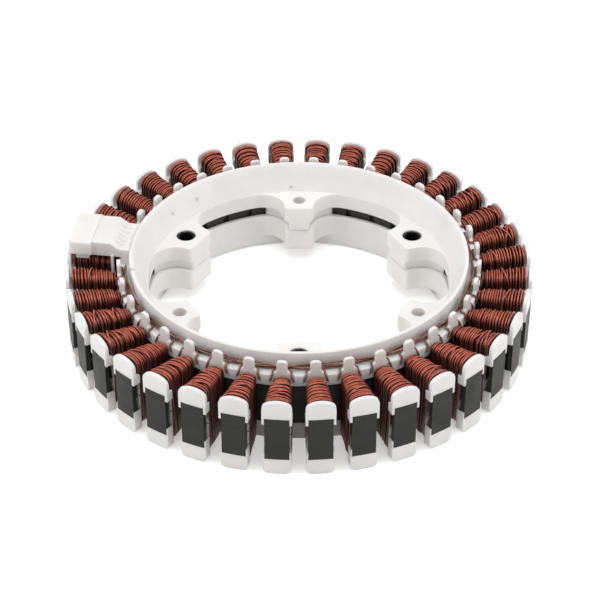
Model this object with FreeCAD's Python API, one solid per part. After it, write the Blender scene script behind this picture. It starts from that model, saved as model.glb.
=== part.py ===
"""Wound stator of an outer-rotor motor: toothed steel core, two moulded insulators and 36 coils.

Millimetres. The origin is on the motor axis in the plane that the lower tooth ends rest on.
+Z points up towards the posts and the sensor housing, and tooth 1 starts half a pitch past +X.
"""
import FreeCAD, Part
import math
import os

V = FreeCAD.Vector
Z_AXIS = V(0, 0, 1)
ORIGIN = V(0, 0, 0)

# Core
TOOTH_COUNT = 36
TIP_RADIUS = 132.5
YOKE_INNER_RADIUS = 88.2
YOKE_OUTER_RADIUS = 102.1
CORE_BOTTOM_Z = 9.7
CORE_HEIGHT = 26.8
NECK_WIDTH = 4.6
TIP_WIDTH = 13.2
TIP_EDGE_DEPTH = 2.7
TIP_SLOPE_DEPTH = 2.3
NOTCH_WIDTH = 3.2
NOTCH_DEPTH = 1.6

# Insulators
SKIRT_WALL = 2.2
SKIRT_GAP = 6.5
SLOT_LINER_WALL = 1.1
SLOT_LINER_GAP = 0.6
NECK_LINER_WALL = 0.9
NECK_LINER_TOP = 2.2
FLANGE_THICKNESS = 1.0
MOULD_WALL = 1.8
RIM_OUTER_RADIUS = 96.1
RIM_TOP_WIDTH = 2.0
RIM_HEIGHT = 15.7
LEDGE_HEIGHT = 6.2
LEDGE_PLATE = 1.6
UPPER_SKIRT_DEPTH = 8.5
CONE_STEP = 0.4

# Tooth end caps
CAP_WIDTH = 15.9
CAP_HEIGHT = 11.5
CAP_CORNER_RADIUS = 6.0
CAP_EAR_DEPTH = 3.9
SHIELD_WIDTH = 14.5
SHIELD_CORNER_RADIUS = 3.0
SHIELD_EAR_HEIGHT = 4.3
FLANGE_WIDTH = 14.2
FLANGE_RISE = 8.0
FLANGE_DROP = 8.2

# Posts beside the wire channel
POST_WIDTH = 5.8
POST_HEIGHT = 8.8
POST_THICKNESS = 2.2
POST_TOP_RADIUS = 2.0
POST_FOOT_WIDTH = 8.6
POST_FOOT_HEIGHT = 1.2

# Mounting lugs
LUG_COUNT = 6
BOLT_CIRCLE_RADIUS = 76.5
LUG_TOP_Z = 37.3
LUG_BOTTOM_Z = 8.3
BOLT_LUG_WIDTH = 23.0
PLAIN_LUG_WIDTH = 17.0
LUG_FLANK_RADIUS = 13.5
LUG_CORNER_RADIUS = 2.0
FLANK_GROOVE_DEPTH = 2.2
PLAIN_HOLE_DIAMETER = 7.8
BUSH_OUTER_DIAMETER = 11.4
BUSH_BORE_DIAMETER = 8.6
BUSH_RECESS = 0.8

# Lower insulator
LOWER_SKIRT_BOTTOM_Z = 1.0
LOWER_WALL_BOTTOM_Z = 0.5
LOWER_FLOOR_PLATE = 1.5
LOWER_WALL = 1.6

# Windings
COIL_TOP_BUILD = 5.3
COIL_INNER_SIDE_BUILD = 3.1
COIL_OUTER_SIDE_BUILD = 3.8
COIL_CORNER_RADIUS = 4.2
COIL_END_GAP = 0.2
WIRE_DIAMETER = 1.2
WIRE_ROW_PITCH = 2.0
PHASES = ("u", "v", "w")

# Sensor housing
HOUSING_ANGLE = 171.5
HOUSING_WIDTH = 28.0
HOUSING_WALL = 2.0
HOUSING_STEP_RISE = 3.8
HOUSING_STEP_START = 100.0
HOUSING_STEP_END = 107.5
HOUSING_SKIRT_DEPTH = 4.8
SOCKET_BLOCK_START = 117.0
SOCKET_BLOCK_END = 130.6
SOCKET_BLOCK_WIDTH = 31.0
SOCKET_BLOCK_HEIGHT = 8.6
SOCKET_DEPTH = 10.5
RIDGE_COUNT = 5
RIDGE_PITCH = 4.2
RIDGE_WIDTH = 1.4
RIDGE_RISE = 2.2
LIP_LENGTH = 7.5
LIP_DROP = 3.4
PRONG_LENGTH = 11.0
PRONG_THICKNESS = 1.4
BOARD_THICKNESS = 1.6
BOARD_DROP = 2.6
PIN_COUNT = 5
PIN_PITCH = 4.4
PIN_SIZE = 1.0
SENSOR_COUNT = 3
SENSOR_PITCH = 7.0
SENSOR_SIZE = (4.0, 3.2, 1.5)

# Derived planes and radii
PITCH_ANGLE = 360.0 / TOOTH_COUNT
CORE_TOP_Z = CORE_BOTTOM_Z + CORE_HEIGHT
CORE_MIDDLE_Z = CORE_BOTTOM_Z + CORE_HEIGHT / 2
LEDGE_Z = CORE_TOP_Z + LEDGE_HEIGHT
RIM_TOP_Z = CORE_TOP_Z + RIM_HEIGHT
UPPER_SKIRT_Z = CORE_TOP_Z - UPPER_SKIRT_DEPTH
LOWER_SKIRT_Z = UPPER_SKIRT_Z - SKIRT_GAP
SKIRT_RADIUS = YOKE_INNER_RADIUS - SKIRT_WALL
SLOT_WALL_RADIUS = YOKE_OUTER_RADIUS + SLOT_LINER_WALL
NECK_END = TIP_RADIUS - TIP_EDGE_DEPTH - TIP_SLOPE_DEPTH
FLANGE_START = NECK_END - FLANGE_THICKNESS
LINER_WIDTH = NECK_WIDTH + 2 * NECK_LINER_WALL
LINER_TOP_Z = CORE_TOP_Z + NECK_LINER_TOP
LINER_BOTTOM_Z = CORE_BOTTOM_Z - NECK_LINER_TOP
UPPER_LINER_EDGE_Z = CORE_MIDDLE_Z + SLOT_LINER_GAP / 2
LOWER_LINER_EDGE_Z = CORE_MIDDLE_Z - SLOT_LINER_GAP / 2
CAP_TOP_Z = CORE_TOP_Z + CAP_HEIGHT
COIL_START = SLOT_WALL_RADIUS + COIL_END_GAP
COIL_END = FLANGE_START
COIL_TOP_Z = LINER_TOP_Z + COIL_TOP_BUILD
COIL_BOTTOM_Z = LINER_BOTTOM_Z - COIL_TOP_BUILD
HOUSING_STEP_TOP_Z = RIM_TOP_Z + HOUSING_STEP_RISE


def tooth_angles():
    """Centre angles of the teeth, half a pitch off the X axis."""
    return [PITCH_ANGLE * (index + 0.5) for index in range(TOOTH_COUNT)]


def polar(radius, degrees, z=0.0):
    angle = math.radians(degrees)
    return V(radius * math.cos(angle), radius * math.sin(angle), z)


def turned(shape, degrees):
    """A copy of the shape turned about the motor axis."""
    copy = shape.copy()
    copy.rotate(ORIGIN, Z_AXIS, degrees)
    return copy


def box(x0, x1, y0, y1, z0, z1):
    return Part.makeBox(x1 - x0, y1 - y0, z1 - z0, V(x0, y0, z0))


def cylinder(radius, z0, z1, x=0.0, y=0.0):
    return Part.makeCylinder(radius, z1 - z0, V(x, y, z0))


def tube(inner_radius, outer_radius, z0, z1):
    return cylinder(outer_radius, z0, z1).cut(cylinder(inner_radius, z0, z1))


def revolved(points):
    """A ring turned about the motor axis from a closed list of (radius, z) corners."""
    corners = [V(radius, 0, z) for radius, z in points]
    face = Part.Face(Part.makePolygon(corners + corners[:1]))
    return face.revolve(ORIGIN, Z_AXIS, 360)


def rounded_outline(corners, place):
    """A closed wire through (a, b, corner radius) corners, laid in space by place(a, b)."""
    count = len(corners)
    bends = []
    for index, (a, b, radius) in enumerate(corners):
        here = V(a, b, 0)
        to_before = (V(*corners[index - 1][:2], 0) - here).normalize()
        to_after = (V(*corners[(index + 1) % count][:2], 0) - here).normalize()
        half_angle = to_before.getAngle(to_after) / 2
        setback = radius / math.tan(half_angle)
        inward = (to_before + to_after).normalize()
        middle = here + inward * (radius / math.sin(half_angle) - radius)
        bends.append((here + to_before * setback, middle, here + to_after * setback))
    edges = []
    for index, (start, middle, end) in enumerate(bends):
        following = bends[(index + 1) % count][0]
        if corners[index][2] > 0:
            edges.append(Part.Arc(place(start), place(middle), place(end)).toShape())
        if (following - end).Length > 1e-6:
            edges.append(Part.LineSegment(place(end), place(following)).toShape())
    return Part.Wire(edges)


def across(x):
    """Lays (a, b) outline points in the plane that crosses a tooth at radius x."""
    return lambda point: V(x, point.x, point.y)


def crossing_plate(corners, x0, x1):
    """A plate across the tooth at angle 0, between radii x0 and x1."""
    face = Part.Face(rounded_outline(corners, across(x0)))
    return face.extrude(V(x1 - x0, 0, 0))


def lamination_core():
    """Yoke and T-shaped teeth as one outline, with notches in the bore."""
    half_neck = NECK_WIDTH / 2
    half_tip = TIP_WIDTH / 2
    slope_radius = TIP_RADIUS - TIP_EDGE_DEPTH
    root_x = math.sqrt(YOKE_OUTER_RADIUS ** 2 - half_neck ** 2)
    face_x = math.sqrt(TIP_RADIUS ** 2 - half_tip ** 2)
    outline = []
    previous_root = None
    first_root = None
    for angle in tooth_angles():
        right = [(root_x, -half_neck), (NECK_END, -half_neck), (slope_radius, -half_tip), (face_x, -half_tip)]
        points = [turned_point(x, y, angle) for x, y in right]
        mirrored = [turned_point(x, -y, angle) for x, y in reversed(right)]
        if previous_root is not None:
            middle = polar(YOKE_OUTER_RADIUS, angle - PITCH_ANGLE / 2)
            outline.append(Part.Arc(previous_root, middle, points[0]).toShape())
        else:
            first_root = points[0]
        outline += lines_through(points)
        outline.append(Part.Arc(points[-1], polar(TIP_RADIUS, angle), mirrored[0]).toShape())
        outline += lines_through(mirrored)
        previous_root = mirrored[-1]
    outline.append(Part.Arc(previous_root, polar(YOKE_OUTER_RADIUS, 0), first_root).toShape())
    half_notch = NOTCH_WIDTH / 2
    mouth_x = math.sqrt(YOKE_INNER_RADIUS ** 2 - half_notch ** 2)
    floor_x = YOKE_INNER_RADIUS + NOTCH_DEPTH
    bore = []
    for index in range(TOOTH_COUNT):
        angle = index * PITCH_ANGLE
        notch = [(mouth_x, -half_notch), (floor_x, -half_notch), (floor_x, half_notch), (mouth_x, half_notch)]
        points = [turned_point(x, y, angle) for x, y in notch]
        bore += lines_through(points)
        middle = polar(YOKE_INNER_RADIUS, angle + PITCH_ANGLE / 2)
        following = turned_point(mouth_x, -half_notch, angle + PITCH_ANGLE)
        bore.append(Part.Arc(points[-1], middle, following).toShape())
    face = Part.Face([Part.Wire(outline), Part.Wire(bore)])
    core = face.extrude(V(0, 0, CORE_HEIGHT))
    core.translate(V(0, 0, CORE_BOTTOM_Z))
    return core


def turned_point(x, y, degrees):
    angle = math.radians(degrees)
    return V(x * math.cos(angle) - y * math.sin(angle), x * math.sin(angle) + y * math.cos(angle), 0)


def lines_through(points):
    return [Part.LineSegment(a, b).toShape() for a, b in zip(points, points[1:])]


def bore_outline(groove, z):
    """The open middle as one wire: blunt lug ends, concave lug flanks and round bays between them.

    groove moves the flanks and bays outwards by that much, and leaves the lug ends in place.
    """
    wall_radius = SKIRT_RADIUS + groove
    flank_radius = LUG_FLANK_RADIUS + groove
    corner = LUG_CORNER_RADIUS
    diagonal = corner * (1 - math.sqrt(0.5))
    lug_pitch = 360.0 / LUG_COUNT
    edges = []
    bay_starts = []
    bay_ends = []
    for angle, width, hole in lug_stations():
        half = width / 2 - groove
        flank_x = math.sqrt((wall_radius - flank_radius) ** 2 - (half + flank_radius) ** 2)
        end_x = flank_x - corner
        lean = math.atan2(half + flank_radius, flank_x)
        bend = (lean - math.pi / 2) / 2
        bend_point = (flank_x + flank_radius * math.cos(bend), half + flank_radius * (1 + math.sin(bend)))
        wall_point = (wall_radius * math.cos(lean), wall_radius * math.sin(lean))
        side = [(end_x, half - corner), (end_x + diagonal, half - diagonal), (flank_x, half),
                bend_point, wall_point]
        left = [raised(turned_point(x, y, angle), z) for x, y in side]
        right = [raised(turned_point(x, -y, angle), z) for x, y in side]
        edges.append(Part.LineSegment(right[0], left[0]).toShape())
        for points in (left, right):
            edges.append(Part.Arc(*points[0:3]).toShape())
            edges.append(Part.Arc(*points[2:5]).toShape())
        bay_starts.append(left[-1])
        bay_ends.append(right[-1])
    for index, (angle, width, hole) in enumerate(lug_stations()):
        middle = polar(wall_radius, angle + lug_pitch / 2, z)
        edges.append(Part.Arc(bay_starts[index], middle, bay_ends[(index + 1) % LUG_COUNT]).toShape())
    return Part.Wire(Part.__sortEdges__(edges))


def bore_prism(groove, z0, z1):
    return Part.Face(bore_outline(groove, z0)).extrude(V(0, 0, z1 - z0))


def raised(point, z):
    return V(point.x, point.y, z)


def lug_stations():
    """Angle, width and hole diameter of each lug; bushed and plain lugs alternate."""
    stations = []
    for index in range(LUG_COUNT):
        angle = 30.0 + index * 360.0 / LUG_COUNT
        bushed = index % 2 == 0
        if bushed:
            stations.append((angle, BOLT_LUG_WIDTH, BUSH_OUTER_DIAMETER))
        else:
            stations.append((angle, PLAIN_LUG_WIDTH, PLAIN_HOLE_DIAMETER))
    return stations


def bolt_angles():
    return [angle for angle, width, hole in lug_stations() if hole == BUSH_OUTER_DIAMETER]


def lug_holes(z0, z1):
    holes = []
    for angle, width, hole in lug_stations():
        centre = polar(BOLT_CIRCLE_RADIUS, angle)
        holes.append(cylinder(hole / 2, z0, z1, centre.x, centre.y))
    return holes


def neck_liner(z0, z1, open_z):
    """U-shaped sleeve half around a tooth neck; open_z is the end that faces the other half."""
    half_in = NECK_WIDTH / 2
    half_out = LINER_WIDTH / 2
    outer = box(YOKE_OUTER_RADIUS, NECK_END, -half_out, half_out, z0, z1)
    inner_z = sorted((open_z, CORE_TOP_Z if open_z < CORE_TOP_Z and z1 > CORE_TOP_Z else CORE_BOTTOM_Z))
    return outer.cut(box(YOKE_OUTER_RADIUS - 1, NECK_END + 1, -half_in, half_in, *inner_z))


def end_cap():
    """Arched cap above a tooth tip, with an ear down each side of the steel."""
    half = CAP_WIDTH / 2
    ear_z = CORE_TOP_Z - CAP_EAR_DEPTH
    corners = [(-half, ear_z, 0), (half, ear_z, 0),
               (half, CAP_TOP_Z, CAP_CORNER_RADIUS), (-half, CAP_TOP_Z, CAP_CORNER_RADIUS)]
    cap = crossing_plate(corners, NECK_END, TIP_RADIUS)
    steel = box(0, TIP_RADIUS, -TIP_WIDTH / 2, TIP_WIDTH / 2, CORE_BOTTOM_Z, CORE_TOP_Z)
    return cap.cut(steel).common(cylinder(TIP_RADIUS, 0, RIM_TOP_Z))


def tip_shield():
    """Cover below a tooth tip, with rounded lower corners and a short ear each side."""
    half = SHIELD_WIDTH / 2
    ear_z = CORE_BOTTOM_Z + SHIELD_EAR_HEIGHT
    corners = [(-half, 0, SHIELD_CORNER_RADIUS), (half, 0, SHIELD_CORNER_RADIUS),
               (half, ear_z, 0), (-half, ear_z, 0)]
    shield = crossing_plate(corners, NECK_END, TIP_RADIUS)
    steel = box(0, TIP_RADIUS, -TIP_WIDTH / 2, TIP_WIDTH / 2, CORE_BOTTOM_Z, CORE_TOP_Z)
    return shield.cut(steel).common(cylinder(TIP_RADIUS, 0, RIM_TOP_Z))


def coil_flange(z0, z1):
    """Plate between the coil and the tooth tip, with the neck passing through it."""
    half = FLANGE_WIDTH / 2
    plate = box(FLANGE_START, NECK_END, -half, half, z0, z1)
    return plate.cut(box(0, TIP_RADIUS, -NECK_WIDTH / 2, NECK_WIDTH / 2, CORE_BOTTOM_Z, CORE_TOP_Z))


def wire_post():
    """Round-topped post on a flared foot, which keeps the crossover wires in their channel."""
    half = POST_WIDTH / 2
    foot = POST_FOOT_WIDTH / 2
    top_z = LEDGE_Z + POST_HEIGHT
    waist_z = LEDGE_Z + 2 * POST_FOOT_HEIGHT
    corners = [(-foot, LEDGE_Z - LEDGE_PLATE, 0), (foot, LEDGE_Z - LEDGE_PLATE, 0),
               (foot, LEDGE_Z + POST_FOOT_HEIGHT, 0), (half, waist_z, 0),
               (half, top_z, POST_TOP_RADIUS), (-half, top_z, POST_TOP_RADIUS),
               (-half, waist_z, 0), (-foot, LEDGE_Z + POST_FOOT_HEIGHT, 0)]
    post = crossing_plate(corners, SLOT_WALL_RADIUS - POST_THICKNESS - 0.3, SLOT_WALL_RADIUS)
    return post.common(tube(SLOT_WALL_RADIUS - POST_THICKNESS, SLOT_WALL_RADIUS, 0, top_z + 1))


def neck_passages(z0, z1):
    """Slots that let the tooth necks through a slot wall."""
    passage = box(YOKE_OUTER_RADIUS - 2, SLOT_WALL_RADIUS + 1, -NECK_WIDTH / 2, NECK_WIDTH / 2, z0, z1)
    return [turned(passage, angle) for angle in tooth_angles()]


def under_housing(angle):
    """True where a tooth lies below the sensor housing."""
    reach = math.degrees(math.asin(HOUSING_WIDTH / 2 / RIM_OUTER_RADIUS))
    return abs(angle - HOUSING_ANGLE) < reach


def upper_insulator():
    rim_inner_radius = RIM_OUTER_RADIUS - RIM_TOP_WIDTH
    cone_foot_radius = SKIRT_RADIUS + CONE_STEP
    cone_rate = (rim_inner_radius - cone_foot_radius) / (RIM_TOP_Z - LUG_TOP_Z)
    pocket_radius = RIM_OUTER_RADIUS - MOULD_WALL
    pocket_foot_radius = cone_foot_radius + MOULD_WALL + (CORE_TOP_Z - LUG_TOP_Z) * cone_rate
    pocket_foot_radius = max(pocket_foot_radius, YOKE_INNER_RADIUS + MOULD_WALL / 2)
    pocket_peak_z = LUG_TOP_Z + (pocket_radius - MOULD_WALL - cone_foot_radius) / cone_rate
    profile = [
        (0, UPPER_SKIRT_Z), (0, LUG_TOP_Z), (cone_foot_radius, LUG_TOP_Z),
        (rim_inner_radius, RIM_TOP_Z), (RIM_OUTER_RADIUS, RIM_TOP_Z),
        (RIM_OUTER_RADIUS, LEDGE_Z), (SLOT_WALL_RADIUS, LEDGE_Z),
        (SLOT_WALL_RADIUS, UPPER_LINER_EDGE_Z), (YOKE_OUTER_RADIUS, UPPER_LINER_EDGE_Z),
        (YOKE_OUTER_RADIUS, CORE_TOP_Z), (SLOT_WALL_RADIUS - MOULD_WALL, CORE_TOP_Z),
        (SLOT_WALL_RADIUS - MOULD_WALL, LEDGE_Z - LEDGE_PLATE), (pocket_radius, LEDGE_Z - LEDGE_PLATE),
        (pocket_radius, pocket_peak_z), (pocket_foot_radius, CORE_TOP_Z),
        (YOKE_INNER_RADIUS, CORE_TOP_Z), (YOKE_INNER_RADIUS, UPPER_SKIRT_Z),
    ]
    ring = revolved(profile).cut(neck_passages(UPPER_LINER_EDGE_Z - 1, CORE_TOP_Z))
    ring = ring.cut(bore_prism(0, UPPER_SKIRT_Z - 1, RIM_TOP_Z))
    stems = cylinder(SKIRT_RADIUS + FLANK_GROOVE_DEPTH / 2, LOWER_SKIRT_Z, UPPER_SKIRT_Z)
    stems = stems.cut(bore_prism(FLANK_GROOVE_DEPTH, LOWER_SKIRT_Z - 1, UPPER_SKIRT_Z + 1))
    liner = neck_liner(UPPER_LINER_EDGE_Z, LINER_TOP_Z, UPPER_LINER_EDGE_Z)
    flange = coil_flange(UPPER_LINER_EDGE_Z, CORE_TOP_Z + FLANGE_RISE)
    plain_tooth = liner.fuse([flange, end_cap()])
    tooth_with_post = plain_tooth.fuse(wire_post())
    pieces = [stems]
    for angle in tooth_angles():
        pieces.append(turned(plain_tooth if under_housing(angle) else tooth_with_post, angle))
    whole = ring.fuse(pieces)
    return whole.cut(lug_holes(LOWER_SKIRT_Z - 1, RIM_TOP_Z)).removeSplitter()


def lower_insulator():
    profile = [
        (0, LUG_BOTTOM_Z), (0, LOWER_SKIRT_Z),
        (YOKE_INNER_RADIUS, LOWER_SKIRT_Z), (YOKE_INNER_RADIUS, CORE_BOTTOM_Z),
        (YOKE_OUTER_RADIUS, CORE_BOTTOM_Z), (YOKE_OUTER_RADIUS, LOWER_LINER_EDGE_Z),
        (SLOT_WALL_RADIUS, LOWER_LINER_EDGE_Z), (SLOT_WALL_RADIUS, LOWER_WALL_BOTTOM_Z),
        (SLOT_WALL_RADIUS - LOWER_WALL, LOWER_WALL_BOTTOM_Z),
        (SLOT_WALL_RADIUS - LOWER_WALL, CORE_BOTTOM_Z - LOWER_FLOOR_PLATE),
        (YOKE_INNER_RADIUS, CORE_BOTTOM_Z - LOWER_FLOOR_PLATE), (YOKE_INNER_RADIUS, LOWER_SKIRT_BOTTOM_Z),
        (SKIRT_RADIUS - CONE_STEP, LOWER_SKIRT_BOTTOM_Z), (SKIRT_RADIUS - CONE_STEP, LUG_BOTTOM_Z),
    ]
    ring = revolved(profile).cut(neck_passages(CORE_BOTTOM_Z, LOWER_LINER_EDGE_Z + 1))
    ring = ring.cut(bore_prism(0, LOWER_SKIRT_BOTTOM_Z - 1, LOWER_SKIRT_Z + 1))
    liner = neck_liner(LINER_BOTTOM_Z, LOWER_LINER_EDGE_Z, LOWER_LINER_EDGE_Z)
    flange = coil_flange(CORE_BOTTOM_Z - FLANGE_DROP, LOWER_LINER_EDGE_Z)
    tooth = liner.fuse([flange, tip_shield()])
    whole = ring.fuse([turned(tooth, angle) for angle in tooth_angles()])
    return whole.cut(lug_holes(LUG_BOTTOM_Z - 1, LOWER_SKIRT_Z + 1)).removeSplitter()


def mounting_bush():
    """Steel sleeve in a bolt lug, set a little below the lug's face."""
    outer = cylinder(BUSH_OUTER_DIAMETER / 2, LUG_BOTTOM_Z, LUG_TOP_Z - BUSH_RECESS, BOLT_CIRCLE_RADIUS)
    bore = cylinder(BUSH_BORE_DIAMETER / 2, LUG_BOTTOM_Z, LUG_TOP_Z, BOLT_CIRCLE_RADIUS)
    return outer.cut(bore)


def coil():
    """Winding around the tooth at angle 0, wider at the tip than at the yoke."""
    sections = []
    for x, build in ((COIL_START, COIL_INNER_SIDE_BUILD), (COIL_END, COIL_OUTER_SIDE_BUILD)):
        half = LINER_WIDTH / 2 + build
        corners = [(-half, COIL_BOTTOM_Z, COIL_CORNER_RADIUS), (half, COIL_BOTTOM_Z, COIL_CORNER_RADIUS),
                   (half, COIL_TOP_Z, COIL_CORNER_RADIUS), (-half, COIL_TOP_Z, COIL_CORNER_RADIUS)]
        sections.append(rounded_outline(corners, across(x)))
    body = Part.makeLoft(sections, True, True)
    window = box(COIL_START - 1, COIL_END + 1, -LINER_WIDTH / 2, LINER_WIDTH / 2, LINER_BOTTOM_Z, LINER_TOP_Z)
    return body.cut(window)


def crossover_wire(row):
    """One phase's wire round the channel, from one side of the sensor housing to the other."""
    radius = RIM_OUTER_RADIUS + WIRE_DIAMETER / 2
    z = LEDGE_Z + WIRE_DIAMETER / 2 + row * WIRE_ROW_PITCH
    reach = math.degrees(math.asin(HOUSING_WIDTH / 2 / (radius - WIRE_DIAMETER / 2)))
    section = Part.Face(Part.Wire(Part.makeCircle(WIRE_DIAMETER / 2, V(radius, 0, z), V(0, 1, 0))))
    wire = section.revolve(ORIGIN, Z_AXIS, 360 - 2 * reach)
    return turned(wire, HOUSING_ANGLE + reach)


def side_profile(points, y0, y1):
    """A prism between y0 and y1 with (x, z) corners."""
    corners = [V(x, y0, z) for x, z in points]
    face = Part.Face(Part.makePolygon(corners + corners[:1]))
    return face.extrude(V(0, y1 - y0, 0))


def housing_top_line(drop):
    """The housing's stepped top seen from the side, lowered by drop."""
    middle = (HOUSING_STEP_START + HOUSING_STEP_END) / 2
    low = RIM_TOP_Z - drop
    high = HOUSING_STEP_TOP_Z - drop
    steps = [(HOUSING_STEP_START, low), (HOUSING_STEP_START + 1.5, low + 0.3)]
    steps += [(middle, (low + high) / 2), (HOUSING_STEP_END - 1.5, high - 0.3), (HOUSING_STEP_END, high)]
    return steps


def sensor_housing():
    """Cover shell from the rim out to a plug socket that rests on two end caps."""
    half = HOUSING_WIDTH / 2
    inner_half = half - HOUSING_WALL
    skirt_z = RIM_TOP_Z - HOUSING_SKIRT_DEPTH
    start = RIM_OUTER_RADIUS - RIM_TOP_WIDTH
    outer_line = [(start, RIM_TOP_Z)] + housing_top_line(0) + [(SOCKET_BLOCK_START, HOUSING_STEP_TOP_Z)]
    shell = side_profile(outer_line + [(SOCKET_BLOCK_START, skirt_z), (start, skirt_z)], -half, half)
    inner_line = [(start, RIM_TOP_Z - HOUSING_WALL)] + housing_top_line(HOUSING_WALL)
    inner_line += [(SOCKET_BLOCK_START, HOUSING_STEP_TOP_Z - HOUSING_WALL)]
    inner_line += [(SOCKET_BLOCK_START, skirt_z - 1), (start, skirt_z - 1)]
    shell = shell.cut(side_profile(inner_line, -inner_half, inner_half))
    leg_end = SLOT_WALL_RADIUS - POST_THICKNESS - HOUSING_WALL / 4
    pieces = []
    for side in (-1, 1):
        y0, y1 = sorted((side * inner_half, side * half))
        pieces.append(box(start, leg_end, y0, y1, LEDGE_Z, skirt_z + 1))
    block_half = SOCKET_BLOCK_WIDTH / 2
    block_top = CAP_TOP_Z + SOCKET_BLOCK_HEIGHT
    block = box(SOCKET_BLOCK_START, SOCKET_BLOCK_END, -block_half, block_half, CAP_TOP_Z, block_top)
    block = block.makeFillet(HOUSING_WALL, [edge for edge in block.Edges if is_block_corner(edge)])
    socket = box(SOCKET_BLOCK_END - SOCKET_DEPTH, SOCKET_BLOCK_END + 1, -block_half + HOUSING_WALL,
                 block_half - HOUSING_WALL, CAP_TOP_Z + HOUSING_WALL, block_top - HOUSING_WALL)
    pieces.append(block)
    lip_start = SOCKET_BLOCK_START + HOUSING_WALL
    lip_z = CAP_TOP_Z - LIP_DROP
    pieces.append(box(lip_start, lip_start + LIP_LENGTH, inner_half, half, lip_z, CAP_TOP_Z + HOUSING_WALL))
    prong_x = SLOT_WALL_RADIUS + PRONG_THICKNESS
    prong_y = half - PRONG_THICKNESS / 4
    pieces.append(box(prong_x, prong_x + PRONG_THICKNESS, prong_y, prong_y + PRONG_THICKNESS,
                      skirt_z - PRONG_LENGTH, skirt_z + 1))
    for index in range(RIDGE_COUNT):
        y = (index - (RIDGE_COUNT - 1) / 2) * RIDGE_PITCH
        pieces.append(box(HOUSING_STEP_START - 1, HOUSING_STEP_END, y - RIDGE_WIDTH / 2, y + RIDGE_WIDTH / 2,
                          RIM_TOP_Z - HOUSING_WALL / 2, RIM_TOP_Z + RIDGE_RISE))
    housing = shell.fuse(pieces).cut([socket] + connector_pins())
    seat = cylinder(RIM_OUTER_RADIUS, 0, RIM_TOP_Z)
    return housing.cut(seat).removeSplitter()


def is_block_corner(edge):
    """Edges of the socket block that run along its length on the top side, and its outer uprights."""
    low = edge.BoundBox
    along = low.XLength > 1 and low.ZMin > CAP_TOP_Z + 1
    upright = low.ZLength > 1 and low.XMin > SOCKET_BLOCK_END - 1
    return along or upright


def sensor_board():
    """Circuit board held between the housing's side walls, behind the socket block."""
    half = HOUSING_WIDTH / 2 - HOUSING_WALL
    top_z = HOUSING_STEP_TOP_Z - HOUSING_WALL - BOARD_DROP
    return box(HOUSING_STEP_END, SOCKET_BLOCK_START, -half, half, top_z - BOARD_THICKNESS, top_z)


def board_sensors():
    """Position sensors under the board, one for each phase."""
    board = sensor_board().BoundBox
    length, width, height = SENSOR_SIZE
    middle = (board.XMin + board.XMax) / 2
    sensors = []
    for index in range(SENSOR_COUNT):
        y = (index - (SENSOR_COUNT - 1) / 2) * SENSOR_PITCH
        sensors.append(box(middle - length / 2, middle + length / 2, y - width / 2, y + width / 2,
                           board.ZMin - height, board.ZMin))
    return sensors


def connector_pins():
    """Square pins from the board's edge through the block's back wall into the socket."""
    board = sensor_board().BoundBox
    pins = []
    for index in range(PIN_COUNT):
        y = (index - (PIN_COUNT - 1) / 2) * PIN_PITCH
        pins.append(box(SOCKET_BLOCK_START - HOUSING_WALL, SOCKET_BLOCK_END - HOUSING_WALL,
                        y - PIN_SIZE / 2, y + PIN_SIZE / 2, board.ZMax, board.ZMax + PIN_SIZE))
    return pins


def export(name, shape):
    shape.exportStep("parts/" + name + ".step")


def main():
    os.makedirs("parts", exist_ok=True)
    export("lamination_core", lamination_core())
    export("upper_insulator", upper_insulator())
    export("lower_insulator", lower_insulator())
    for number, angle in enumerate(bolt_angles(), 1):
        export("mounting_bush_%d" % number, turned(mounting_bush(), angle))
    one_coil = coil()
    for number, angle in enumerate(tooth_angles(), 1):
        export("coil_%02d" % number, turned(one_coil, angle))
    for row, phase in enumerate(PHASES):
        export("crossover_wire_" + phase, crossover_wire(row))
    export("sensor_housing", turned(sensor_housing(), HOUSING_ANGLE))
    export("sensor_board", turned(sensor_board(), HOUSING_ANGLE))
    export("board_sensors", turned(Part.makeCompound(board_sensors()), HOUSING_ANGLE))
    export("connector_pins", turned(Part.makeCompound(connector_pins()), HOUSING_ANGLE))


main()
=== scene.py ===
"""Looks of the wound motor stator: moulded plastic, stacked steel, enamelled copper windings."""
import math
import random

import bmesh
import bpy
from mathutils import Matrix, Vector


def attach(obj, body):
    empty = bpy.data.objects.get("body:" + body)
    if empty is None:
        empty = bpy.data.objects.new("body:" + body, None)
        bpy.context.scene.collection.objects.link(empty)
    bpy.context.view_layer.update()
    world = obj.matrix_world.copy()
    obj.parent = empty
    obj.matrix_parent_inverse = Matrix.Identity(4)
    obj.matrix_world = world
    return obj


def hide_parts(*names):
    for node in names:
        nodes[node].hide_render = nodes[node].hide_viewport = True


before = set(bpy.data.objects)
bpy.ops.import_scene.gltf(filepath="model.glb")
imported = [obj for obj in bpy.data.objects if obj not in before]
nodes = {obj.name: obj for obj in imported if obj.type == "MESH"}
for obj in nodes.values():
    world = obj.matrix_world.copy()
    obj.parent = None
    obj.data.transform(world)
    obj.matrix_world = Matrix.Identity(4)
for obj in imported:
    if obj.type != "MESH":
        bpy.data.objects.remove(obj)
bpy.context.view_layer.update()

MM = 0.001
TOOTH_COUNT = 36
PITCH = 2 * math.pi / TOOTH_COUNT
SHEETS_PER_METRE = 2000.0


# ---------------------------------------------------------------- materials

def new_material(name):
    material = bpy.data.materials.new(name)
    material.use_nodes = True
    tree = material.node_tree
    shader = tree.nodes["Principled BSDF"]
    return material, tree, shader


def add(tree, kind, **values):
    node = tree.nodes.new(kind)
    for key, value in values.items():
        setattr(node, key, value)
    return node


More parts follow.
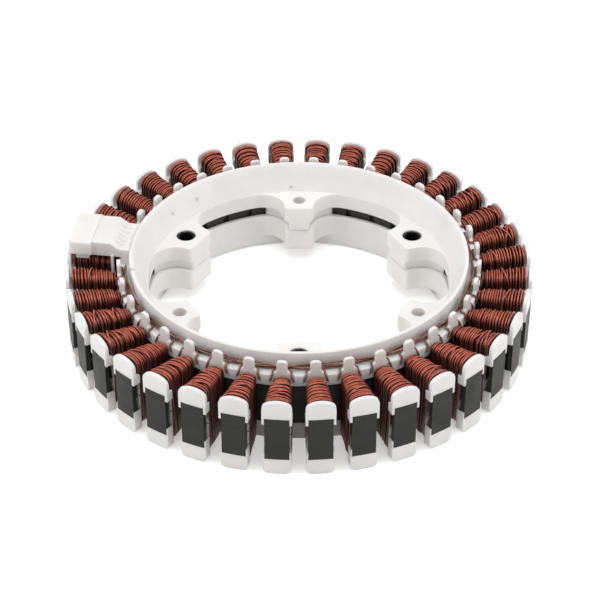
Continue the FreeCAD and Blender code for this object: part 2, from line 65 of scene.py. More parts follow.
def noise(tree, scale, detail=3.0, roughness=0.5, stretch=(1, 1, 1)):
    """Noise in object space; scale counts features per metre."""
    place = add(tree, "ShaderNodeTexCoord")
    mapping = add(tree, "ShaderNodeMapping")
    mapping.inputs["Scale"].default_value = stretch
    texture = add(tree, "ShaderNodeTexNoise")
    texture.inputs["Scale"].default_value = scale
    texture.inputs["Detail"].default_value = detail
    texture.inputs["Roughness"].default_value = roughness
    tree.links.new(place.outputs["Object"], mapping.inputs["Vector"])
    tree.links.new(mapping.outputs["Vector"], texture.inputs["Vector"])
    return texture.outputs["Fac"]


def ramp(tree, source, stops):
    node = add(tree, "ShaderNodeValToRGB")
    elements = node.color_ramp.elements
    while len(elements) < len(stops):
        elements.new(0.5)
    for element, (position, colour) in zip(elements, stops):
        element.position = position
        element.color = (*colour, 1)
    tree.links.new(source, node.inputs["Fac"])
    return node.outputs["Color"]


def math_node(tree, operation, a, b=None):
    node = add(tree, "ShaderNodeMath", operation=operation)
    for socket, value in zip(node.inputs, (a, b)):
        if value is None:
            continue
        if isinstance(value, (int, float)):
            socket.default_value = value
        else:
            tree.links.new(value, socket)
    return node.outputs[0]


def product(tree, *colours):
    """Colours multiplied together."""
    result = colours[0]
    for colour in colours[1:]:
        node = add(tree, "ShaderNodeVectorMath", operation="MULTIPLY")
        tree.links.new(result, node.inputs[0])
        tree.links.new(colour, node.inputs[1])
        result = node.outputs[0]
    return result


def bump(tree, height, distance, strength=1.0, normal=None):
    node = add(tree, "ShaderNodeBump")
    node.inputs["Strength"].default_value = strength
    node.inputs["Distance"].default_value = distance
    tree.links.new(height, node.inputs["Height"])
    if normal is not None:
        tree.links.new(normal, node.inputs["Normal"])
    return node.outputs["Normal"]


def soft_edges(tree, radius):
    node = add(tree, "ShaderNodeBevel", samples=4)
    node.inputs["Radius"].default_value = radius
    return node.outputs["Normal"]


def white_moulding():
    material, tree, shader = new_material("white_moulding")
    cloud = noise(tree, 45, 4)
    colour = ramp(tree, cloud, [(0.35, (0.865, 0.835, 0.81)), (0.65, (0.905, 0.88, 0.855))])
    tree.links.new(colour, shader.inputs["Base Color"])
    grain = noise(tree, 2600, 2)
    rough = ramp(tree, grain, [(0.3, (0.38,) * 3), (0.7, (0.50,) * 3)])
    tree.links.new(rough, shader.inputs["Roughness"])
    shader.inputs["Specular IOR Level"].default_value = 0.42
    shader.inputs["Subsurface Weight"].default_value = 0.45
    shader.inputs["Subsurface Radius"].default_value = (1.0, 0.85, 0.75)
    shader.inputs["Subsurface Scale"].default_value = 0.004
    tree.links.new(bump(tree, grain, 0.00003, 0.5, soft_edges(tree, 0.0005)), shader.inputs["Normal"])
    return material


def stacked_steel():
    """Punched sheet edges one above the other: straight fine lines under a thin dark varnish."""
    material, tree, shader = new_material("stacked_steel")
    place = add(tree, "ShaderNodeTexCoord")
    split = add(tree, "ShaderNodeSeparateXYZ")
    tree.links.new(place.outputs["Object"], split.inputs[0])
    sheets = math_node(tree, "FRACT", math_node(tree, "MULTIPLY", split.outputs["Z"], SHEETS_PER_METRE))
    ridge = math_node(tree, "PINGPONG", sheets, 0.5)
    lines = noise(tree, 60, 4, 0.6, (0.12, 0.12, 34))
    colour = ramp(tree, lines, [(0.30, (0.020, 0.020, 0.018)), (0.62, (0.031, 0.031, 0.028)),
                                (0.80, (0.060, 0.053, 0.045))])
    tree.links.new(colour, shader.inputs["Base Color"])
    shader.inputs["Metallic"].default_value = 0.25
    shader.inputs["Specular IOR Level"].default_value = 0.24
    rough = ramp(tree, noise(tree, 90, 3), [(0.3, (0.40,) * 3), (0.75, (0.55,) * 3)])
    tree.links.new(rough, shader.inputs["Roughness"])
    height = math_node(tree, "ADD", ridge, lines)
    tree.links.new(bump(tree, height, 0.00005, 0.7), shader.inputs["Normal"])
    return material


def enamelled_copper(name, light, dark, side_shade):
    """Red-brown enamel with painted shade: darker on the steep stretches, as light from above would
    leave them, and nearly black down between the turns.
    """
    material, tree, shader = new_material(name)
    colour = ramp(tree, noise(tree, 320, 4, 0.6), [(0.30, dark), (0.70, light)])
    # Painted shade: the colour is darkened where other wire lies within a few millimetres, standing for
    # the shade between turns and in the slots.
    crevice = add(tree, "ShaderNodeAmbientOcclusion", samples=6)
    crevice.inputs["Distance"].default_value = 0.004
    painted_crevice_shade = ramp(tree, crevice.outputs["AO"], [(0.25, (0.10,) * 3), (0.85, (1.0,) * 3)])
    # Painted shade: faces that stand steep are darkened down to side_shade and level ones keep their
    # colour, as light falling from above would leave them.
    surface = add(tree, "ShaderNodeNewGeometry")
    split = add(tree, "ShaderNodeSeparateXYZ")
    tree.links.new(surface.outputs["Normal"], split.inputs[0])
    level = math_node(tree, "ABSOLUTE", split.outputs["Z"])
    painted_upright_shade = ramp(tree, level, [(0.10, (side_shade,) * 3), (0.80, (1.0,) * 3)])
    tree.links.new(product(tree, colour, painted_crevice_shade, painted_upright_shade), shader.inputs["Base Color"])
    shader.inputs["Metallic"].default_value = 0.30
    drawn = noise(tree, 1500, 2)
    rough = ramp(tree, drawn, [(0.3, (0.28,) * 3), (0.7, (0.42,) * 3)])
    tree.links.new(rough, shader.inputs["Roughness"])
    shader.inputs["Coat Weight"].default_value = 0.30
    shader.inputs["Coat Roughness"].default_value = 0.25
    tree.links.new(bump(tree, drawn, 0.00002, 0.4), shader.inputs["Normal"])
    return material


def plated(name, light, dark, metallic, roughness):
    material, tree, shader = new_material(name)
    cloud = noise(tree, 500, 4)
    tree.links.new(ramp(tree, cloud, [(0.3, dark), (0.7, light)]), shader.inputs["Base Color"])
    shader.inputs["Metallic"].default_value = metallic
    shader.inputs["Roughness"].default_value = roughness
    tree.links.new(bump(tree, cloud, 0.00004, 0.5, soft_edges(tree, 0.0003)), shader.inputs["Normal"])
    return material


WHITE = white_moulding()
STEEL = stacked_steel()
# The last number of each copper is how dark its painted shade on steep stretches goes.
COPPER = enamelled_copper("enamelled_copper", (0.74, 0.175, 0.095), (0.36, 0.060, 0.028), 0.20)
# Painted shade: the body under the turns is coloured near black, for the shade seen through the gaps
# between turns.
COPPER_PAINTED_DARK = enamelled_copper("inner_turns_painted_shade", (0.12, 0.026, 0.014), (0.06, 0.014, 0.008), 0.5)
COPPER_LEAD = enamelled_copper("crossover_copper", (0.44, 0.185, 0.110), (0.21, 0.075, 0.042), 0.7)
BUSH = plated("dark_bush_steel", (0.055, 0.055, 0.060), (0.028, 0.028, 0.032), 0.8, 0.38)
BOARD = plated("board_laminate", (0.03, 0.16, 0.07), (0.02, 0.11, 0.05), 0.0, 0.4)
PACKAGE = plated("sensor_package", (0.02, 0.02, 0.02), (0.012, 0.012, 0.013), 0.0, 0.5)
TIN = plated("tinned_pin", (0.62, 0.60, 0.56), (0.50, 0.48, 0.44), 1.0, 0.3)

def paint(name, material):
    """Gives a CAD node its one material."""
    slots = nodes[name].data.materials
    slots.clear()
    slots.append(material)


paint("lamination_core", STEEL)
paint("sensor_board", BOARD)
paint("board_sensors", PACKAGE)
paint("connector_pins", TIN)
for number in (1, 2, 3):
    paint("mounting_bush_%d" % number, BUSH)


# ---------------------------------------------------------------- mouldings

# Heights of the core, and heights on either side of the seam between the two insulators
CORE_TOP = 36.5 * MM
CORE_BOTTOM = 9.7 * MM
BELOW_SEAM = 20 * MM
ABOVE_SEAM = 26 * MM

# Slot walls, the flange behind each tooth tip and the cap over it
SLOT_FLOOR_RADIUS = 102.1 * MM
SLOT_WALL_RADIUS = 103.2 * MM
FLANGE_START = 126.5 * MM
FLANGE_BOTTOM = 0.6 * MM
TIP_START = 127.5 * MM
TIP_RADIUS = 132.5 * MM
LINER_HALF_WIDTH = 3.2 * MM
CAP_BACK = 130.1 * MM
CAP_BASE = 1.4 * MM
CAP_HALF_WIDTH = 7.95 * MM
CAP_SPRING = 42.5 * MM
CAP_DOME = 4.8 * MM
ARCH_STEPS = 16

# Sloping inner face: where it starts, radius gained per height, unit normal (radial, upward)
CONE_FOOT = 37.3 * MM
CONE_FOOT_RADIUS = 86.4 * MM
CONE_FLARE = 0.517
CONE_NORMAL = (0.888, -0.459)

# Ejector marks on that face: degrees and radius, and each again half a turn on
MARKS = ((93.2, 87.4 * MM), (132.6, 89.9 * MM), (146.0, 90.0 * MM))
MARK_RADIUS = 1.2 * MM
MARK_DEPTH = 0.7 * MM
MARK_TOOL_LENGTH = 4 * MM

# Slits beside each post, from the post's middle line outwards
SLIT_TOP = 43.2 * MM
SLIT_BOTTOM = 37.4 * MM
SLIT_TOP_OFFSET = 5.0 * MM
SLIT_BOTTOM_OFFSET = 6.2 * MM
SLIT_WIDTH = 0.9 * MM
SLIT_BACK = 1.2 * MM
SLIT_DEPTH = 2 * MM

# Rim and the notch in it
RIM_TOP = 52.2 * MM
NOTCH_ANGLE = math.radians(191)
NOTCH_START = 93 * MM
NOTCH_END = 97 * MM
NOTCH_HALF_WIDTH = 1.4 * MM
NOTCH_DEPTH = 2.4 * MM

# Step across the sensor housing's top and the ribs on it
HOUSING_ANGLE = math.radians(171.5)
STEP_START = 100.0 * MM
STEP_END = 107.5 * MM
STEP_RISE = 3.8 * MM
STEP_BEND = 1.5 * MM
STEP_BEND_RISE = 0.3 * MM
STEP_APPROACH = 4 * MM
RIB_RISE = 0.5 * MM
RIB_HALF_WIDTH = 11 * MM

# How far cutters reach past what they cut, and a height above everything
SLACK = 0.15 * MM
MARGIN = 1 * MM
ABOVE = 70 * MM

WELD_DISTANCE = 1e-7
SHARP_ANGLE = math.radians(32)


def at(radius, angle, z):
    return Vector((radius * math.cos(angle), radius * math.sin(angle), z))


def prism(outline, rise):
    """A closed solid: the outline's points and the same ones moved by rise."""
    count = len(outline)
    points = list(outline) + [point + rise for point in outline]
    faces = [tuple(range(count)), tuple(reversed(range(count, 2 * count)))]
    for index in range(count):
        following = (index + 1) % count
        faces.append((index, index + count, following + count, following))
    return points, faces


def block(x0, x1, y0, y1, z0, z1, angle):
    """A box in a tooth's own frame, turned to the tooth's angle."""
    turn = Matrix.Rotation(angle, 4, "Z")
    corners = [turn @ Vector((x, y, z0)) for x, y in ((x0, y0), (x1, y0), (x1, y1), (x0, y1))]
    return prism(corners, Vector((0, 0, z1 - z0)))


def ring(inner, outer, z0, z1, count=144):
    """A hollow cylinder round the axis."""
    points = []
    for radius, z in ((inner, z0), (outer, z0), (outer, z1), (inner, z1)):
        points += [at(radius, 2 * math.pi * step / count, z) for step in range(count)]
    faces = []
    for side in range(4):
        for step in range(count):
            a = side * count + step
            b = side * count + (step + 1) % count
            shift = ((side + 1) % 4 - side) * count
            faces.append((a, b, b + shift, a + shift))
    return points, faces


def rod(centre, axis, radius, length, sides=20):
    """A round pin along an axis that leans out of the XY plane."""
    across = axis.cross(Vector((0, 0, 1))).normalized()
    along = axis.cross(across)
    outline = []
    for step in range(sides):
        turn = 2 * math.pi * step / sides
        outline.append(centre + (across * math.cos(turn) + along * math.sin(turn)) * radius)
    return prism(outline, axis * length)


def piece_from(name, vertices, faces, face_materials, materials):
    """A smooth-shaded object; face_materials holds each face's place in materials."""
    mesh = bpy.data.meshes.new(name)
    mesh.from_pydata(vertices, [], faces)
    for material in materials:
        mesh.materials.append(material)
    mesh.polygons.foreach_set("material_index", face_materials)
    mesh.polygons.foreach_set("use_smooth", [True] * len(faces))
    mesh.update()
    piece = bpy.data.objects.new(name, mesh)
    bpy.context.scene.collection.objects.link(piece)
    return piece


def cutter(solids):
    """One object from closed solids that don't meet, with all normals outwards."""
    mesh = bpy.data.meshes.new("cutter")
    shapes = bmesh.new()
    for points, faces in solids:
        corners = [shapes.verts.new(point) for point in points]
        for face in faces:
            shapes.faces.new([corners[index] for index in face])
    bmesh.ops.recalc_face_normals(shapes, faces=shapes.faces)
    shapes.to_mesh(mesh)
    shapes.free()
    tool = bpy.data.objects.new("cutter", mesh)
    bpy.context.scene.collection.objects.link(tool)
    return tool


def moulding(name, tools):
    """Stands for a CAD node with the tools' volumes taken out of it."""
    source = nodes[name]
    shapes = bmesh.new()
    shapes.from_mesh(source.data)
    bmesh.ops.remove_doubles(shapes, verts=shapes.verts, dist=WELD_DISTANCE)
    welded = bpy.data.meshes.new(name)
    shapes.to_mesh(welded)
    shapes.free()
    body = bpy.data.objects.new(name + "_body", welded)
    body.matrix_world = source.matrix_world
    bpy.context.scene.collection.objects.link(body)
    for tool in tools:
        step = body.modifiers.new("cut", "BOOLEAN")
        step.operation = "DIFFERENCE"
        step.solver = "EXACT"
        step.object = tool
    bpy.context.view_layer.update()
    cut = body.evaluated_get(bpy.context.evaluated_depsgraph_get()).to_mesh()
    points = [source.matrix_world @ vertex.co for vertex in cut.vertices]
    faces = [tuple(face.vertices) for face in cut.polygons]
    for used in [body] + tools:
        bpy.data.objects.remove(used)
    piece = piece_from(name + "_moulding", points, faces, [0] * len(faces), [WHITE])
    piece.data.set_sharp_from_angle(angle=SHARP_ANGLE)
    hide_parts(name)
    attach(piece, "root")
    return piece


def tooth_turns():
    """The angle of every tooth."""
    return [PITCH * (index + 0.5) for index in range(TOOTH_COUNT)]


def flange_cuts(z0, z1):
    """Frees the coil's end from the plate behind the tooth tip, on both sides of the neck."""
    near = LINER_HALF_WIDTH + SLACK
    far = CAP_HALF_WIDTH + SLACK
    cuts = []
    for angle in tooth_turns():
        for y0, y1 in ((-far, -near), (near, far)):
            cuts.append(block(FLANGE_START - SLACK, TIP_START - SLACK / 3, y0, y1, z0, z1, angle))
    return cuts


def behind_cap(angle):
    """What makes the source cap thicker than its front wall."""
    return block(FLANGE_START - SLACK, CAP_BACK, -CAP_HALF_WIDTH - SLACK, CAP_HALF_WIDTH + SLACK,
                 CORE_TOP + CAP_BASE, ABOVE, angle)


def above_dome(angle):
    """What lies over a cap's elliptical top."""
    turn = Matrix.Rotation(angle, 4, "Z")
    half = CAP_HALF_WIDTH + 2 * SLACK
    edge = half + MARGIN
    arch = []
    for step in range(ARCH_STEPS + 1):
        y = half * math.cos(math.pi * step / ARCH_STEPS)
        arch.append((y, CAP_SPRING + CAP_DOME * math.sqrt(max(0.0, 1 - (y / half) ** 2))))
    outline = [(edge, CAP_SPRING)] + arch + [(-edge, CAP_SPRING), (-edge, ABOVE), (edge, ABOVE)]
    corners = [turn @ Vector((TIP_START - MARGIN / 2, y, z)) for y, z in outline]
    return prism(corners, turn @ Vector((TIP_RADIUS - TIP_START + MARGIN, 0, 0)))


def lead_slits(angle):
    """Slanting slits in the slot wall beside a post, where the coil's leads drop."""
    turn = Matrix.Rotation(angle, 4, "Z")
    outline = [(SLIT_TOP_OFFSET, SLIT_TOP), (SLIT_TOP_OFFSET + SLIT_WIDTH, SLIT_TOP),
               (SLIT_BOTTOM_OFFSET + SLIT_WIDTH, SLIT_BOTTOM), (SLIT_BOTTOM_OFFSET, SLIT_BOTTOM)]
    slits = []
    for side in (-1, 1):
        corners = [turn @ Vector((SLOT_WALL_RADIUS - SLIT_BACK, side * y, z)) for y, z in outline]
        slits.append(prism(corners, turn @ Vector((SLIT_DEPTH, 0, 0))))
    return slits


def cone_height(radius):
    """Height of the sloping inner face at a radius."""
    return CONE_FOOT + (radius - CONE_FOOT_RADIUS) / CONE_FLARE


def ejector_mark(degrees, radius):
    """A round dimple, square to the sloping inner face."""
    angle = math.radians(degrees)
    outwards = at(CONE_NORMAL[0], angle, CONE_NORMAL[1])
    floor = at(radius, angle, cone_height(radius)) + outwards * MARK_DEPTH
    return rod(floor, -outwards, MARK_RADIUS, MARK_TOOL_LENGTH)


def dress_upper_insulator():
    slot_walls = ring(SLOT_FLOOR_RADIUS - SLACK, SLOT_WALL_RADIUS + SLACK,
                      BELOW_SEAM, CORE_TOP - 4 * SLACK)
    notch = block(NOTCH_START, NOTCH_END, -NOTCH_HALF_WIDTH, NOTCH_HALF_WIDTH,
                  RIM_TOP - NOTCH_DEPTH, ABOVE, NOTCH_ANGLE)
    caps = [behind_cap(angle) for angle in tooth_turns()]
    marks = [ejector_mark(degrees + half_turn, radius)
             for half_turn in (0, 180) for degrees, radius in MARKS]
    flanges = flange_cuts(BELOW_SEAM, CORE_TOP + CAP_BASE + SLACK)
    domes = [above_dome(angle) for angle in tooth_turns()]
    slits = [slit for angle in tooth_turns() for slit in lead_slits(angle)]
    moulding("upper_insulator", [cutter([slot_walls, notch] + caps + marks), cutter(flanges),
                                 cutter(domes + slits)])


def dress_lower_insulator():
    slot_walls = ring(SLOT_FLOOR_RADIUS - SLACK, SLOT_WALL_RADIUS + SLACK,
                      CORE_BOTTOM + 4 * SLACK, ABOVE_SEAM)
    moulding("lower_insulator", [cutter([slot_walls]), cutter(flange_cuts(FLANGE_BOTTOM, ABOVE_SEAM))])


def dress_sensor_housing():
    """Trims the ridges on the step down to low ribs that follow it."""
    line = [(STEP_START - STEP_APPROACH, 0), (STEP_START, 0), (STEP_START + STEP_BEND, STEP_BEND_RISE),
            ((STEP_START + STEP_END) / 2, STEP_RISE / 2),
            (STEP_END - STEP_BEND, STEP_RISE - STEP_BEND_RISE), (STEP_END, STEP_RISE),
            (STEP_END + MARGIN, STEP_RISE)]
    turn = Matrix.Rotation(HOUSING_ANGLE, 4, "Z")
    outline = [turn @ Vector((x, -RIB_HALF_WIDTH, RIM_TOP + RIB_RISE + rise)) for x, rise in line]
    outline += [turn @ Vector((x, -RIB_HALF_WIDTH, ABOVE)) for x in (line[-1][0], line[0][0])]
    across = turn @ Vector((0, 2 * RIB_HALF_WIDTH, 0))
    moulding("sensor_housing", [cutter([prism(outline, across)])])


dress_upper_insulator()
dress_lower_insulator()
dress_sensor_housing()


# ---------------------------------------------------------------- windings

WIRE = 0.55 * MM
WIRE_SIDES = 6
COIL_SEED = 100
COIL_START = 103.45 * MM
COIL_END = 127.3 * MM
COIL_LOW = 2.2 * MM
COIL_HIGH_INNER = 43.7 * MM
COIL_HIGH_OUTER = 47.4 * MM
COIL_HIGH_CURVE = 1.4
HALF_INNER = 5.4 * MM
HALF_OUTER = 7.4 * MM
LOOP_STEPS = 4

# Tops of the outer turns lean outwards, from LEAN_FROM above the core and fully LEAN_OVER higher
LEAN_OUT = 2.0 * MM
LEAN_FROM = 2 * MM
LEAN_OVER = 3 * MM

# One layer of turns, with their play as shares of a layer's jitter
TURN_SPACING = 2.25 * WIRE
TURN_CROWN = 0.3 * MM
TURN_LEAN = 0.25 * MM
TOP_PLAY = 0.4
BOTTOM_PLAY = 0.3
CORNER_SHARE = 0.72
CORNER_LIMIT = 4.6 * MM
SWELL = 0.35 * MM
SWELL_WAVE = 3.1 * MM
SWELL_SIDEWAYS = 0.5
SWELL_LIMIT = 0.2 * MM

# Turns that cross their neighbours keep to this stretch of a layer
CROSSINGS_FROM = 0.15
CROSSINGS_TO = 0.8
CROSSING_LEAN = (1.4 * MM, 2.6 * MM)
CROSSING_LIFT = 0.8 * WIRE

# The two layers, the shares of the coil between which the outer one starts, and their body
INNER_INSET = 1.45 * MM
INNER_JITTER = 0.12 * MM
INNER_CROSSINGS = 0.05
OUTER_INSET = WIRE
OUTER_JITTER = 0.22 * MM
OUTER_CROSSINGS = 0.16
OUTER_START = (0.10, 0.30)
BODY_INSET = 1.9 * MM
BODY_CORNER = 2.7 * MM
BODY_CROWN = 0.1 * MM


def skin(base, rings, size, faces):
    """Joins rings of points that follow one another into a tube with closed ends."""
    for layer in range(rings - 1):
        for step in range(size):
            a = base + layer * size + step
            b = base + layer * size + (step + 1) % size
            faces.append((a, b, b + size, a + size))
    last = base + (rings - 1) * size
    faces.append(tuple(base + step for step in reversed(range(size))))
    faces.append(tuple(last + step for step in range(size)))


def sweep(path, radius, sides, vertices, faces):
    """Adds a round tube along the path's points to the lists."""
    base = len(vertices)
    previous_up = Vector((0, 0, 1))
    for index, point in enumerate(path):
        ahead = path[min(index + 1, len(path) - 1)]
        behind = path[max(index - 1, 0)]
        forward = (ahead - behind).normalized()
        side = forward.cross(previous_up)
        if side.length < 1e-6:
            side = forward.cross(Vector((1, 0, 0)))
        side.normalize()
        up = side.cross(forward).normalized()
        previous_up = up
        for step in range(sides):
            turn = 2 * math.pi * step / sides
            vertices.append(point + (side * math.cos(turn) + up * math.sin(turn)) * radius)
    skin(base, len(path), sides, faces)


def winding_loop(half_width, low, high, corner, crown, steps):
    """Points (across, height) of one turn, from the bottom middle round the tooth."""
    points = []
    straight_x = half_width - corner
    straight_z = (high - low) / 2 - corner
    middle = (high + low) / 2
    for centre_x, centre_z, start in ((1, -1, -90), (1, 1, 0), (-1, 1, 90), (-1, -1, 180)):
        for step in range(steps + 1):
            angle = math.radians(start + 90 * step / steps)
            x = centre_x * straight_x + corner * math.cos(angle)
            z = middle + centre_z * straight_z + corner * math.sin(angle)
            points.append((x, z))
        if centre_x == centre_z == 1:
            points.append((0.0, high + crown))
        if centre_x == centre_z == -1:
            points.append((0.0, low - crown))
    return points


def eased(value):
    """Smooth step from 0 to 1."""
    value = min(max(value, 0.0), 1.0)
    return value * value * (3 - 2 * value)


def share_at(x):
    """How far along the coil a radius is, from 0 to 1."""
    return (x - COIL_START) / (COIL_END - COIL_START)


def high_at(x):
    return COIL_HIGH_INNER + (COIL_HIGH_OUTER - COIL_HIGH_INNER) * share_at(x) ** COIL_HIGH_CURVE


def half_at(x):
    return HALF_INNER + (HALF_OUTER - HALF_INNER) * share_at(x)


def leaned(x, y, z):
    """Moves the top of the outer turns outwards, over the tooth tip and up to the cap."""
    outer = eased((share_at(x) - 0.5) * 2)
    upper = eased((z - CORE_TOP - LEAN_FROM) / LEAN_OVER)
    return Vector((x + LEAN_OUT * outer * upper, y, z))


def helix(rng, start, end, inset, jitter, crossings):
    """One layer of turns from radius start to end, set in from the coil's outline."""
    path = []
    phase = rng.uniform(0, 2 * math.pi)
    turns = int((end - start) / TURN_SPACING)
    for turn in range(turns):
        x0 = start + (end - start) * turn / max(turns - 1, 1)
        half = half_at(x0) - inset + rng.uniform(-jitter, jitter)
        high = high_at(x0) - inset + rng.uniform(-jitter, jitter * TOP_PLAY)
        low = COIL_LOW + inset + rng.uniform(-jitter * BOTTOM_PLAY, jitter)
        swell = SWELL * math.sin(phase + 2 * math.pi * x0 / SWELL_WAVE)
        half += swell * SWELL_SIDEWAYS
        high += min(swell, SWELL_LIMIT)
        lean = rng.uniform(-TURN_LEAN, TURN_LEAN)
        if rng.random() < crossings and CROSSINGS_FROM < turn / turns < CROSSINGS_TO:
            lean = rng.choice((-1, 1)) * rng.uniform(*CROSSING_LEAN)
            high += CROSSING_LIFT
        corner = min(half * CORNER_SHARE, CORNER_LIMIT)
        loop = winding_loop(half, low, high, corner, TURN_CROWN, LOOP_STEPS)
        for index, (y, z) in enumerate(loop):
            share = index / len(loop)
            x = x0 + 2 * WIRE * share + lean * math.sin(2 * math.pi * share)
            x = min(max(x, COIL_START + WIRE), COIL_END - WIRE)
            path.append(leaned(x, y, z))
    return path


def inner_body(vertices, faces):
    """Adds the closed body that fills a coil under its turns."""
    base = len(vertices)
    stations = (COIL_START, (COIL_START + COIL_END) / 2, COIL_END - WIRE)
    for x in stations:
        loop = winding_loop(half_at(x) - BODY_INSET, COIL_LOW + BODY_INSET, high_at(x) - BODY_INSET,
                            BODY_CORNER, BODY_CROWN, LOOP_STEPS)
        vertices.extend(leaned(x, y, z) for y, z in loop)
    skin(base, len(stations), len(loop), faces)


def coil_piece(index):
    """Two loosely laid layers of turns over a body painted near black, standing for the shade between
    the turns.
    """
    rng = random.Random(COIL_SEED + index)
    vertices = []
    faces = []
    last = COIL_END - 3 * WIRE
    inner = helix(rng, COIL_START + WIRE, last, INNER_INSET, INNER_JITTER, INNER_CROSSINGS)
    outer_start = COIL_START + (COIL_END - COIL_START) * rng.uniform(*OUTER_START)
    outer = helix(rng, outer_start, last, OUTER_INSET, OUTER_JITTER, OUTER_CROSSINGS)
    for layer in (inner, outer):
        sweep(layer, WIRE, WIRE_SIDES, vertices, faces)
    strands = len(faces)
    inner_body(vertices, faces)
    # Body faces take the second material, painted near black as shade.
    kinds = [0] * strands + [1] * (len(faces) - strands)
    turn = Matrix.Rotation(PITCH * (index + 0.5), 4, "Z")
    placed = [turn @ vertex for vertex in vertices]
    name = "coil_%02d" % (index + 1)
    piece = piece_from(name + "_turns", placed, faces, kinds, [COPPER, COPPER_PAINTED_DARK])
    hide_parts(name)
    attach(piece, "root")


for index in range(TOOTH_COUNT):
    coil_piece(index)


# ---------------------------------------------------------------- crossover wires

LEDGE_Z = 42.7 * MM
LEAD_RADIUS = 0.55 * MM
LEAD_SIDES = 8
LEAD_SEED = 40
SMOOTH_STEPS = 5
FEWEST_POINTS = 4
LEAD_LEVEL = LEDGE_Z + LEAD_RADIUS + 0.1 * MM
HOUSING_REACH = math.radians(8.8)

# A wire's end at its coil, from the slit inwards: radians from the coil's middle, radius, rise
LEAD_ROUTE = ((0.060, 103.9 * MM, -3.9 * MM), (0.0505, 103.6 * MM, -1.0 * MM),
              (0.049, 102.6 * MM, 0.3 * MM), (0.0495, 101.6 * MM, 0.5 * MM),
              (0.044, 100.6 * MM, 0.8 * MM), (0.026, 100.1 * MM, 1.1 * MM))

# The run between two ends: share of the way, and how far the wire has come from the height
# at which it enters to that of its own row
RUN_STATIONS = ((0.12, 0.55), (0.30, 0.8), (0.50, 0.8), (0.70, 0.8), (0.88, 0.55))
RUN_RADIUS = 99.6 * MM
RUN_DRAWN_IN = 1.7 * MM
RUN_RADIUS_PLAY = 0.35 * MM
RUN_ENTRY_RISE = 1 * MM
RUN_HEIGHT_PLAY = 0.25 * MM
ROW_START = 0.3 * MM
ROW_SPACING = 1.8 * MM
ROW_PLAY = 0.2 * MM


def smooth(points, steps):
    """Catmull-Rom points through the given ones."""
    result = []
    padded = [points[0]] + points + [points[-1]]
    for index in range(1, len(padded) - 2):
        p0, p1, p2, p3 = padded[index - 1:index + 3]
        for step in range(steps):
            t = step / steps
            result.append(0.5 * ((2 * p1) + (p2 - p0) * t + (2 * p0 - 5 * p1 + 4 * p2 - p3) * t ** 2
                                 + (3 * p1 - p0 - 3 * p2 + p3) * t ** 3))
    result.append(points[-1])
    return result


def from_housing(angle):
    """Angle between a place and the middle of the sensor housing."""
    return abs(math.remainder(angle - HOUSING_ANGLE, 2 * math.pi))


def trimmed(points):
    """The part of a run that stays clear of the sensor housing's legs."""
    kept = []
    for point in points:
        if from_housing(math.atan2(point.y, point.x)) > HOUSING_REACH:
            kept.append(point)
        elif kept:
            break
    return kept


def lead_end(angle, side):
    """From the slit on one side of a coil to behind its post."""
    return [at(radius, angle + side * turn, LEAD_LEVEL + rise) for turn, radius, rise in LEAD_ROUTE]


def run_middle(rng, start, end, row):
    """Loosely laid points between the two ends, near the row's own height."""
    row_rise = ROW_START + ROW_SPACING * row + rng.uniform(-ROW_PLAY, ROW_PLAY)
    points = []
    for share, reached in RUN_STATIONS:
        radius = RUN_RADIUS - RUN_DRAWN_IN * reached + rng.uniform(-RUN_RADIUS_PLAY, RUN_RADIUS_PLAY)
        rise = RUN_ENTRY_RISE + (row_rise - RUN_ENTRY_RISE) * reached
        rise += rng.uniform(-RUN_HEIGHT_PLAY, RUN_HEIGHT_PLAY)
        points.append(at(radius, start + (end - start) * share, LEAD_LEVEL + rise))
    return points


def crossover_piece(phase, row):
    """Runs from every third coil to the next of its phase; both ends pass behind their own post."""
    rng = random.Random(LEAD_SEED + row)
    vertices = []
    faces = []
    for step in range(TOOTH_COUNT // 3):
        start = PITCH * (3 * step + row + 0.5)
        end = start - 3 * PITCH
        points = lead_end(start, 1) + run_middle(rng, start, end, row) + lead_end(end, -1)[::-1]
        if from_housing((start + end) / 2) < PITCH * 1.5 + HOUSING_REACH:
            points = trimmed(points)
        if len(points) >= FEWEST_POINTS:
            sweep(smooth(points, SMOOTH_STEPS), LEAD_RADIUS, LEAD_SIDES, vertices, faces)
    name = "crossover_wire_" + phase
    piece = piece_from(name + "_run", vertices, faces, [0] * len(faces), [COPPER_LEAD])
    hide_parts(name)
    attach(piece, "root")


for row, phase in enumerate(("u", "v", "w")):
    crossover_piece(phase, row)


# ---------------------------------------------------------------- stage, light and camera

FLOOR_GLOW = 0.42
WORLD_LIGHT = 0.54
WORLD_SEEN_EXTRA = 0.46


def flat_emitter(tree, shader_socket, strength):
    """Adds light that only the camera and mirror-like rays see to a stage material."""
    path = add(tree, "ShaderNodeLightPath")
    seen = math_node(tree, "MAXIMUM", path.outputs["Is Camera Ray"], path.outputs["Is Glossy Ray"])
    seen = math_node(tree, "MAXIMUM", seen, path.outputs["Is Transmission Ray"])
    tree.links.new(math_node(tree, "MULTIPLY", seen, strength), shader_socket)


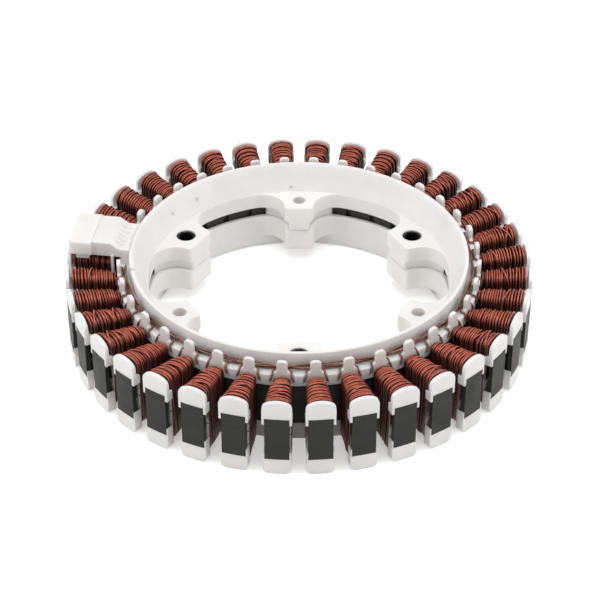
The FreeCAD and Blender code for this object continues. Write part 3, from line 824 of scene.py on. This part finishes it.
def make_floor():
    mesh = bpy.data.meshes.new("floor")
    size = 6.0
    mesh.from_pydata([(-size, -size, 0), (size, -size, 0), (size, size, 0), (-size, size, 0)], [],
                     [(0, 1, 2, 3)])
    floor = bpy.data.objects.new("floor", mesh)
    bpy.context.scene.collection.objects.link(floor)
    material, tree, shader = new_material("floor_white")
    tree.links.new(ramp(tree, noise(tree, 3, 2), [(0.3, (0.86,) * 3), (0.7, (0.87,) * 3)]),
                   shader.inputs["Base Color"])
    shader.inputs["Roughness"].default_value = 0.8
    shader.inputs["Specular IOR Level"].default_value = 0.1
    shader.inputs["Emission Color"].default_value = (1, 1, 1, 1)
    flat_emitter(tree, shader.inputs["Emission Strength"], FLOOR_GLOW)
    mesh.materials.append(material)


def make_world():
    world = bpy.data.worlds.new("studio")
    bpy.context.scene.world = world
    world.use_nodes = True
    tree = world.node_tree
    background = tree.nodes["Background"]
    background.inputs["Color"].default_value = (1, 1, 1, 1)
    path = add(tree, "ShaderNodeLightPath")
    extra = math_node(tree, "MULTIPLY", path.outputs["Is Camera Ray"], WORLD_SEEN_EXTRA)
    tree.links.new(math_node(tree, "ADD", extra, WORLD_LIGHT), background.inputs["Strength"])


def area_lamp(name, place, target, size, power):
    lamp = bpy.data.lights.new(name, "AREA")
    lamp.shape = "RECTANGLE"
    lamp.size, lamp.size_y = size
    lamp.energy = power
    holder = bpy.data.objects.new(name, lamp)
    holder.location = place
    holder.rotation_euler = (Vector(target) - Vector(place)).to_track_quat("-Z", "Y").to_euler()
    bpy.context.scene.collection.objects.link(holder)


def make_camera():
    distance = 1.138
    elevation = math.radians(35.66)
    target = Vector((0.00058, 0, 0.0181))
    camera = bpy.data.cameras.new("camera")
    camera.lens = 118.4
    camera.sensor_width = 36
    holder = bpy.data.objects.new("camera", camera)
    holder.location = target + Vector((0, -math.cos(elevation), math.sin(elevation))) * distance
    holder.rotation_euler = (target - holder.location).to_track_quat("-Z", "Y").to_euler()
    bpy.context.scene.collection.objects.link(holder)
    bpy.context.scene.camera = holder


make_floor()
make_world()
area_lamp("overhead", (0.0, -0.10, 1.5), (0, 0, 0), (1.6, 1.4), 10.5)
for name, side in (("left_side", -1), ("right_side", 1)):
    area_lamp(name, (side * 1.3, -0.2, 0.7), (0, 0, 0.02), (0.8, 0.8), 5)
make_camera()
bpy.context.scene.view_settings.view_transform = "Standard"
